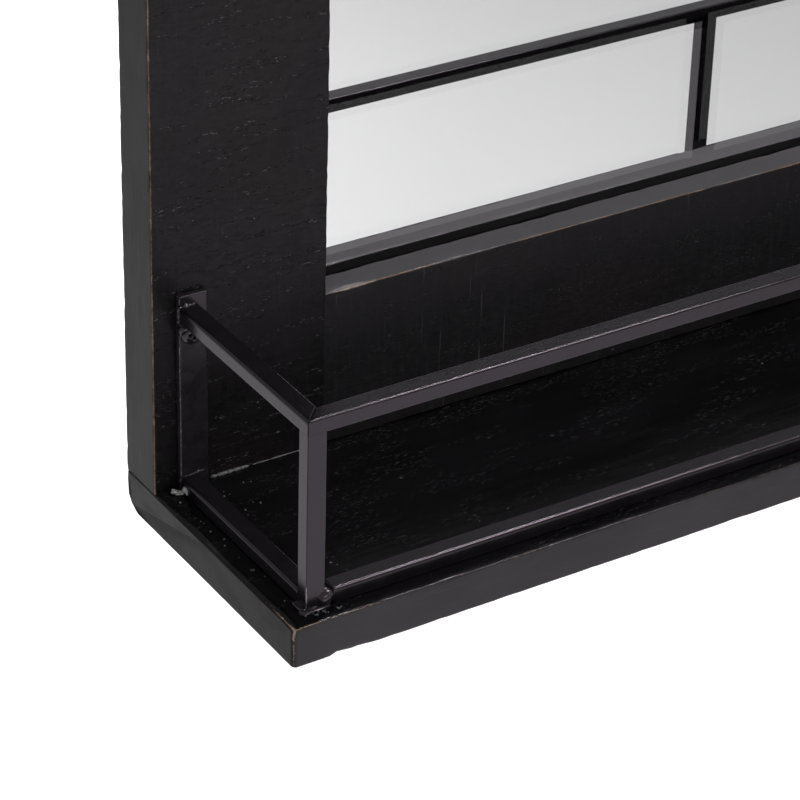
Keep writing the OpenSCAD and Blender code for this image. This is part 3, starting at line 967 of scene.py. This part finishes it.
def make_welds():
    """Weld at the posts' feet, at their tops and along the wall plates."""
    width, depth = (post_hi.x - post_lo.x) / MM, (post_hi.y - post_lo.y) / MM
    height = (side_hi.z - post_lo.z) / MM
    wall = (plate_lo.y - post_lo.y) / MM
    middle = -post_lo.x / MM
    left = [
        blob(at(width + 0.2, 1.7, 3.1), (3.0, 3.0, 3.1), 1, 0.12, 0.72),
        blob(at(width / 2, 0.4, 0.2), (5.6, 2.3, 0.9), 2, 0.5),
        blob(at(-0.2, 3.2, 0.2), (1.5, 3.6, 1.1), 3, 0.5),
        blob(at(width + 0.1, depth / 2, height - depth), (1.3, 2.0, 1.3), 4, 0.25),
        blob(at(width / 2, depth, 3.0), (2.6, 1.4, 2.4), 5),
        blob(at(1.6, wall - 0.4, height - 8.6), (2.2, 1.6, 2.6), 6, 0.5),
    ]
    upper = [at(0.1, wall, height - 6.6), at(0.1, wall, height - 0.3), at(width, wall, height - 0.1)]
    lower = [at(0.2, wall, 0.6), at(0.3, wall, 4.9), at(width - 1, wall, 5.8), at(width + 3, wall, 5.7)]
    left += [bead_run(upper, 0.9, 7), bead_run(lower, 0.75, 8)]
    feet, tops = [], []
    for way in (-1, 1):
        beside = middle + way * width / 2
        feet.append(blob(at(beside + way * 0.6, 2.2, 2.7), (2.6, 2.6, 2.7), 9 + way, 0.25, 0.65))
        tops.append(blob(at(beside + way * 0.1, depth / 2, height - depth), (1.3, 2.0, 1.3), 12 + way, 0.25))
    centre = feet + tops
    lumps("gallery_welds", both_sides(left) + centre, WELD_STEEL, ["gallery_weld_beads"])


def pan_head(centre, radius, height):
    """A pan head with a cross recess, facing the front, as vertices and faces."""
    around, rings = 72, 26
    flatness = 5
    arm_width, arm_length, sunk = 0.13 * radius, 0.52 * radius, 0.55 * height

    def rise(x, z):
        out = min(1.0, math.hypot(x, z) / radius)
        dome = height * math.sqrt(max(0.0, 1 - out ** flatness))
        along, across = max(abs(x), abs(z)), min(abs(x), abs(z))
        inside = min(1.0, max(0.0, (arm_width - across) / (0.35 * arm_width)))
        inside *= min(1.0, max(0.0, (arm_length - along) / (0.2 * arm_length)))
        return dome - sunk * inside

    verts = [centre + Vector((0, -rise(0, 0), 0))]
    for k in range(1, rings + 1):
        size = radius * math.sin(math.pi / 2 * k / rings)
        for turn in turns(around):
            x, z = size * math.cos(turn), size * math.sin(turn)
            verts.append(centre + Vector((x, -rise(x, z), z)))
    faces = dome_faces(rings, around)
    faces.append(tuple(reversed(range(1 + (rings - 1) * around, 1 + rings * around))))
    return verts, faces


def make_plate_screws():
    """The heads of the wall plates' screws, with paint knocked off round the cross."""
    height = plate_lo.y - screw_lo.y
    level = (screw_hi.z + screw_lo.z) / 2
    radius = screw_hi.z - level
    centre = Vector((screw_lo.x + radius, plate_lo.y, level))
    verts, faces = joined(both_sides([pan_head(centre, radius, height)]))
    made = piece("gallery_plate_screw_heads", verts, faces, [BLACK_SCREW],
                 stands_for=["gallery_plate_screws"])
    reach = 3.2 * MM
    bare = [fade((v - centre).length, reach) + fade((mirrored(v) - centre).length, reach) for v in verts]
    fill_attribute(made, "rub_and_highlight", [b * (0.9 + 0.6 * drift(v, 0.8 * MM, 33)) for b, v in zip(bare, verts)])


def make_crumbs():
    """Filler along the stiles' feet, chips of paint by the plates, and spatter on the shelf."""
    seam_y, seam_z = (wood_front - post_lo.y) / MM, 0.1
    start = (plate_hi.x - post_lo.x) / MM
    seams = [bead_run([at(start + 1.6, seam_y, seam_z), at(start + 17, seam_y, seam_z)], 0.75, 41)]
    seams.append(bead_run([at(start + 18, seam_y, seam_z), at(start + 46, seam_y, seam_z)], 0.26, 42))
    lumps("seam_filler", both_sides(seams), SEAM)
    wall = (plate_lo.y - post_lo.y) / MM
    chips = [
        blob(at(-2.0, wall - 0.4, 0.5), (1.2, 1.5, 0.7), 43, 0.8),
        blob(at(-0.1, wall - 3.8, 2.2), (0.45, 1.4, 1.2), 44, 0.8),
        blob(at(-0.6, wall - 1.6, 0.4), (0.7, 1.0, 0.5), 45, 0.8),
    ]
    lumps("paint_chips", both_sides(chips), CHIPS)

    def speck(across, along, size, seed):
        return blob(at(across, along, 0), (size, size, size * 0.8), seed, rings=6, around=10)

    draw = random.Random(5)
    beside, in_front = 26, 16
    specks = []
    for k in range(beside):
        along = draw.uniform(2, wall - 4)
        across = draw.choice([draw.uniform(-3.4, -1.0), draw.uniform(8.5, 24)])
        specks.append(speck(across, along, draw.uniform(0.18, 0.42), 50 + k))
    for k in range(in_front):
        size = draw.uniform(0.18, 0.38)
        specks.append(speck(draw.uniform(-2, 12), draw.uniform(-3.4, -1.2), size, 80 + k))
    lumps("weld_spatter", both_sides(specks), SEAM)


# ---------------------------------------------------------------- back and hardware


def make_bumpers():
    """Domed rubber feet. The profile goes out and up, in shares of radius and height."""
    radius = (bumper_hi.z - bumper_lo.z) / 2
    height = bumper_hi.y - bumper_lo.y
    around, steps = 40, 8
    profile = [(0.96, 0.0), (1.0, 0.10), (1.0, 0.42)]
    for k in range(1, steps + 1):
        angle = math.pi / 2 * k / steps
        out = 0.72 + 0.28 * math.cos(angle) - 0.1 * (k / steps) ** 2
        profile.append((out, 0.42 + 0.58 * math.sin(angle)))
    profile.append((0.3, 1.0))
    centre = Vector((bumper_lo.x + radius, bumper_lo.y, bumper_lo.z + radius))
    verts = []
    for out, up in profile:
        for turn in turns(around):
            spoke = Vector((math.cos(turn), 0, -math.sin(turn))) * radius * out
            verts.append(centre + spoke + Vector((0, height * up, 0)))
    verts, faces = joined(both_sides([(verts, tube_faces(len(profile), around))]))
    piece("rubber_bumpers", verts, faces, [RUBBER], stands_for=["wall_bumpers"])


def paint_nodes(material, names):
    """Gives a material to CAD nodes that are shown as they are."""
    for name in names:
        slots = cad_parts[name].data.materials
        slots.clear()
        slots.append(material)


def paint_hardware():
    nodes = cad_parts
    buttons = [n for n in nodes if n.startswith("turn_button") and n != "turn_button_screws"]
    straps = ["left_hanger_strap", "right_hanger_strap", "left_d_ring", "right_d_ring"]
    paint_nodes(ZINC, [*buttons, *straps, "gallery_post_screws"])
    paint_nodes(YELLOW_ZINC, ["shelf_screws", "turn_button_screws", "hanger_screws"])
    paint_nodes(FIBREBOARD, ["backing_board"])
    paint_nodes(BEECH, ["frame_dowels"])


# ---------------------------------------------------------------- camera, floor and light

# The camera's turn, tilt down and roll are radians, and its lens and film are millimetres.
CAMERA_PLACE = Vector((-0.7374, -0.8429, -0.0484))
CAMERA_YAW = 0.5742
CAMERA_PITCH = 0.5372
CAMERA_ROLL = -0.0292
CAMERA_LENS = 147.4
FILM_WIDTH = 36


def make_camera():
    data = bpy.data.cameras.new("camera")
    data.lens = CAMERA_LENS
    data.sensor_width = FILM_WIDTH
    data.clip_start = 10 * MM
    camera = bpy.data.objects.new("camera", data)
    bpy.context.scene.collection.objects.link(camera)
    aim = Matrix.Rotation(-CAMERA_YAW, 4, "Z") @ Matrix.Rotation(math.pi / 2 - CAMERA_PITCH, 4, "X")
    camera.matrix_world = Matrix.Translation(CAMERA_PLACE) @ aim @ Matrix.Rotation(-CAMERA_ROLL, 4, "Z")
    bpy.context.scene.camera = camera


def make_floor():
    """A wide, pale floor, well below the shelf."""
    shader = Shader("pale_floor")
    shader.set(Base_Color=(0.935, 0.925, 0.935), Roughness=0.9)
    drop, width = 0.55, 30
    bpy.ops.mesh.primitive_plane_add(size=width, location=(0, 0, shelf_lo.z - drop))
    floor = bpy.context.object
    floor.name = "floor"
    floor.data.materials.append(shader.material)


def softbox(name, place, target, width, height, power):
    """An area light that the camera itself doesn't see."""
    data = bpy.data.lights.new(name, "AREA")
    data.shape = "RECTANGLE"
    data.size, data.size_y = width, height
    data.energy = power
    lamp = bpy.data.objects.new(name, data)
    bpy.context.scene.collection.objects.link(lamp)
    lamp.location = place
    lamp.visible_camera = False
    lamp.rotation_mode = "QUATERNION"
    lamp.rotation_quaternion = (Vector(target) - Vector(place)).to_track_quat("-Z", "Y")


def make_light():
    """A dim surround, and lights behind the mirror, over the floor in front of it, and above the shelf."""
    world = bpy.data.worlds.new("studio")
    world.use_nodes = True
    background = world.node_tree.nodes["Background"]
    background.inputs["Color"].default_value = (1.0, 1.0, 1.0, 1.0)
    background.inputs["Strength"].default_value = 0.335
    bpy.context.scene.world = world
    softbox("back", (0.55, 1.25, 0.15), (0.15, 0.95, -1.2), width=1.2, height=1.2, power=34)
    softbox("front", (-0.12, -1.42, -0.4), (-0.12, -1.42, -1.2), width=0.6, height=0.6, power=6.7)
    softbox("rim", (0.40, -0.50, 0.42), (-0.2, -0.1, -0.57), width=0.42, height=0.14, power=4.5)
    bpy.context.scene.view_settings.view_transform = "Standard"


make_camera()
make_floor()
make_light()
make_stiles()
make_rails()
make_shelf()
make_mirror()
make_gallery()
make_bumpers()
paint_hardware()
